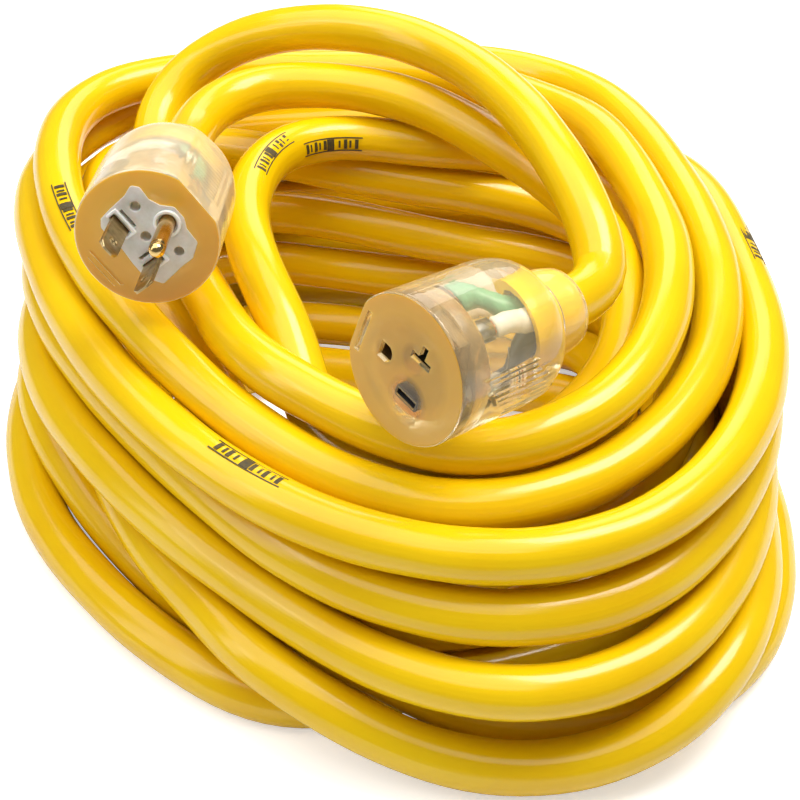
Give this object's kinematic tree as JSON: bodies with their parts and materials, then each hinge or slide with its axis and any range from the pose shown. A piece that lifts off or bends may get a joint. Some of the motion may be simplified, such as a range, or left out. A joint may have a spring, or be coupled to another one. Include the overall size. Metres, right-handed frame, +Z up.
{
  "type": "shore power cord",
  "caption": "Coiled three-conductor yellow supply cord with a clear moulded straight-blade plug and a clear moulded connector at its ends.",
  "frame": {"origin": "on the ground under the middle of the bounding box of the coil", "axes": "+Z up, the coil lying flat on the ground; +Y from the front, where the connectors face, to the back of the coil; +X to the right seen from the front"},
  "size_m": [0.2688, 0.3013, 0.1387],
  "materials": {
    "yellow_jacket": "glossy vinyl",
    "black_insulation": "glossy",
    "white_insulation": "glossy",
    "green_insulation": "glossy",
    "clear_body": "clear vinyl, slightly amber",
    "pale_carrier": "milky, satin",
    "brass_blade": "dull, rolled",
    "contact_steel": "dark, satin",
    "copper": "bare strands",
    "lamp_glass": "clear",
    "resistor_body": "matt"
  },
  "bodies": {
    "coil": {"cord_jacket": "yellow_jacket", "core_hot": "black_insulation", "core_neutral": "white_insulation", "core_ground": "green_insulation"},
    "plug_head": {"plug_housing": "clear_body", "plug_blade_carrier": "pale_carrier", "plug_blade_hot": "brass_blade", "plug_blade_neutral": "brass_blade", "plug_ground_pin": "brass_blade", "plug_strands_hot": "copper", "plug_strands_neutral": "copper", "plug_strands_ground": "copper", "plug_lead_hot": "black_insulation", "plug_lead_neutral": "white_insulation", "plug_lead_ground": "green_insulation", "plug_jacket_end": "yellow_jacket"},
    "connector_head": {"connector_housing": "clear_body", "connector_contact_carrier": "pale_carrier", "connector_contact_hot": "contact_steel", "connector_contact_neutral": "contact_steel", "connector_contact_ground": "brass_blade", "connector_strands_hot": "copper", "connector_strands_neutral": "copper", "connector_strands_ground": "copper", "connector_lead_hot": "black_insulation", "connector_lead_neutral": "white_insulation", "connector_lead_ground": "green_insulation", "connector_jacket_end": "yellow_jacket", "indicator_lamp": "lamp_glass", "indicator_resistor": "resistor_body", "indicator_wire_a": "contact_steel", "indicator_wire_b": "contact_steel"}
  },
  "joints": [
    {"name": "plug_flex", "type": "hinge", "parent": "coil", "child": "plug_head", "pos_m": [-0.06584, 0.03016, 0.10593], "axis": [-0.9992, 0.0406, 0], "range_deg": [0, 30]},
    {"name": "connector_flex", "type": "hinge", "parent": "coil", "child": "connector_head", "pos_m": [0.05457, -0.05087, 0.10448], "axis": [-0.6921, 0.7218, 0], "range_deg": [0, 30]}
  ]
}
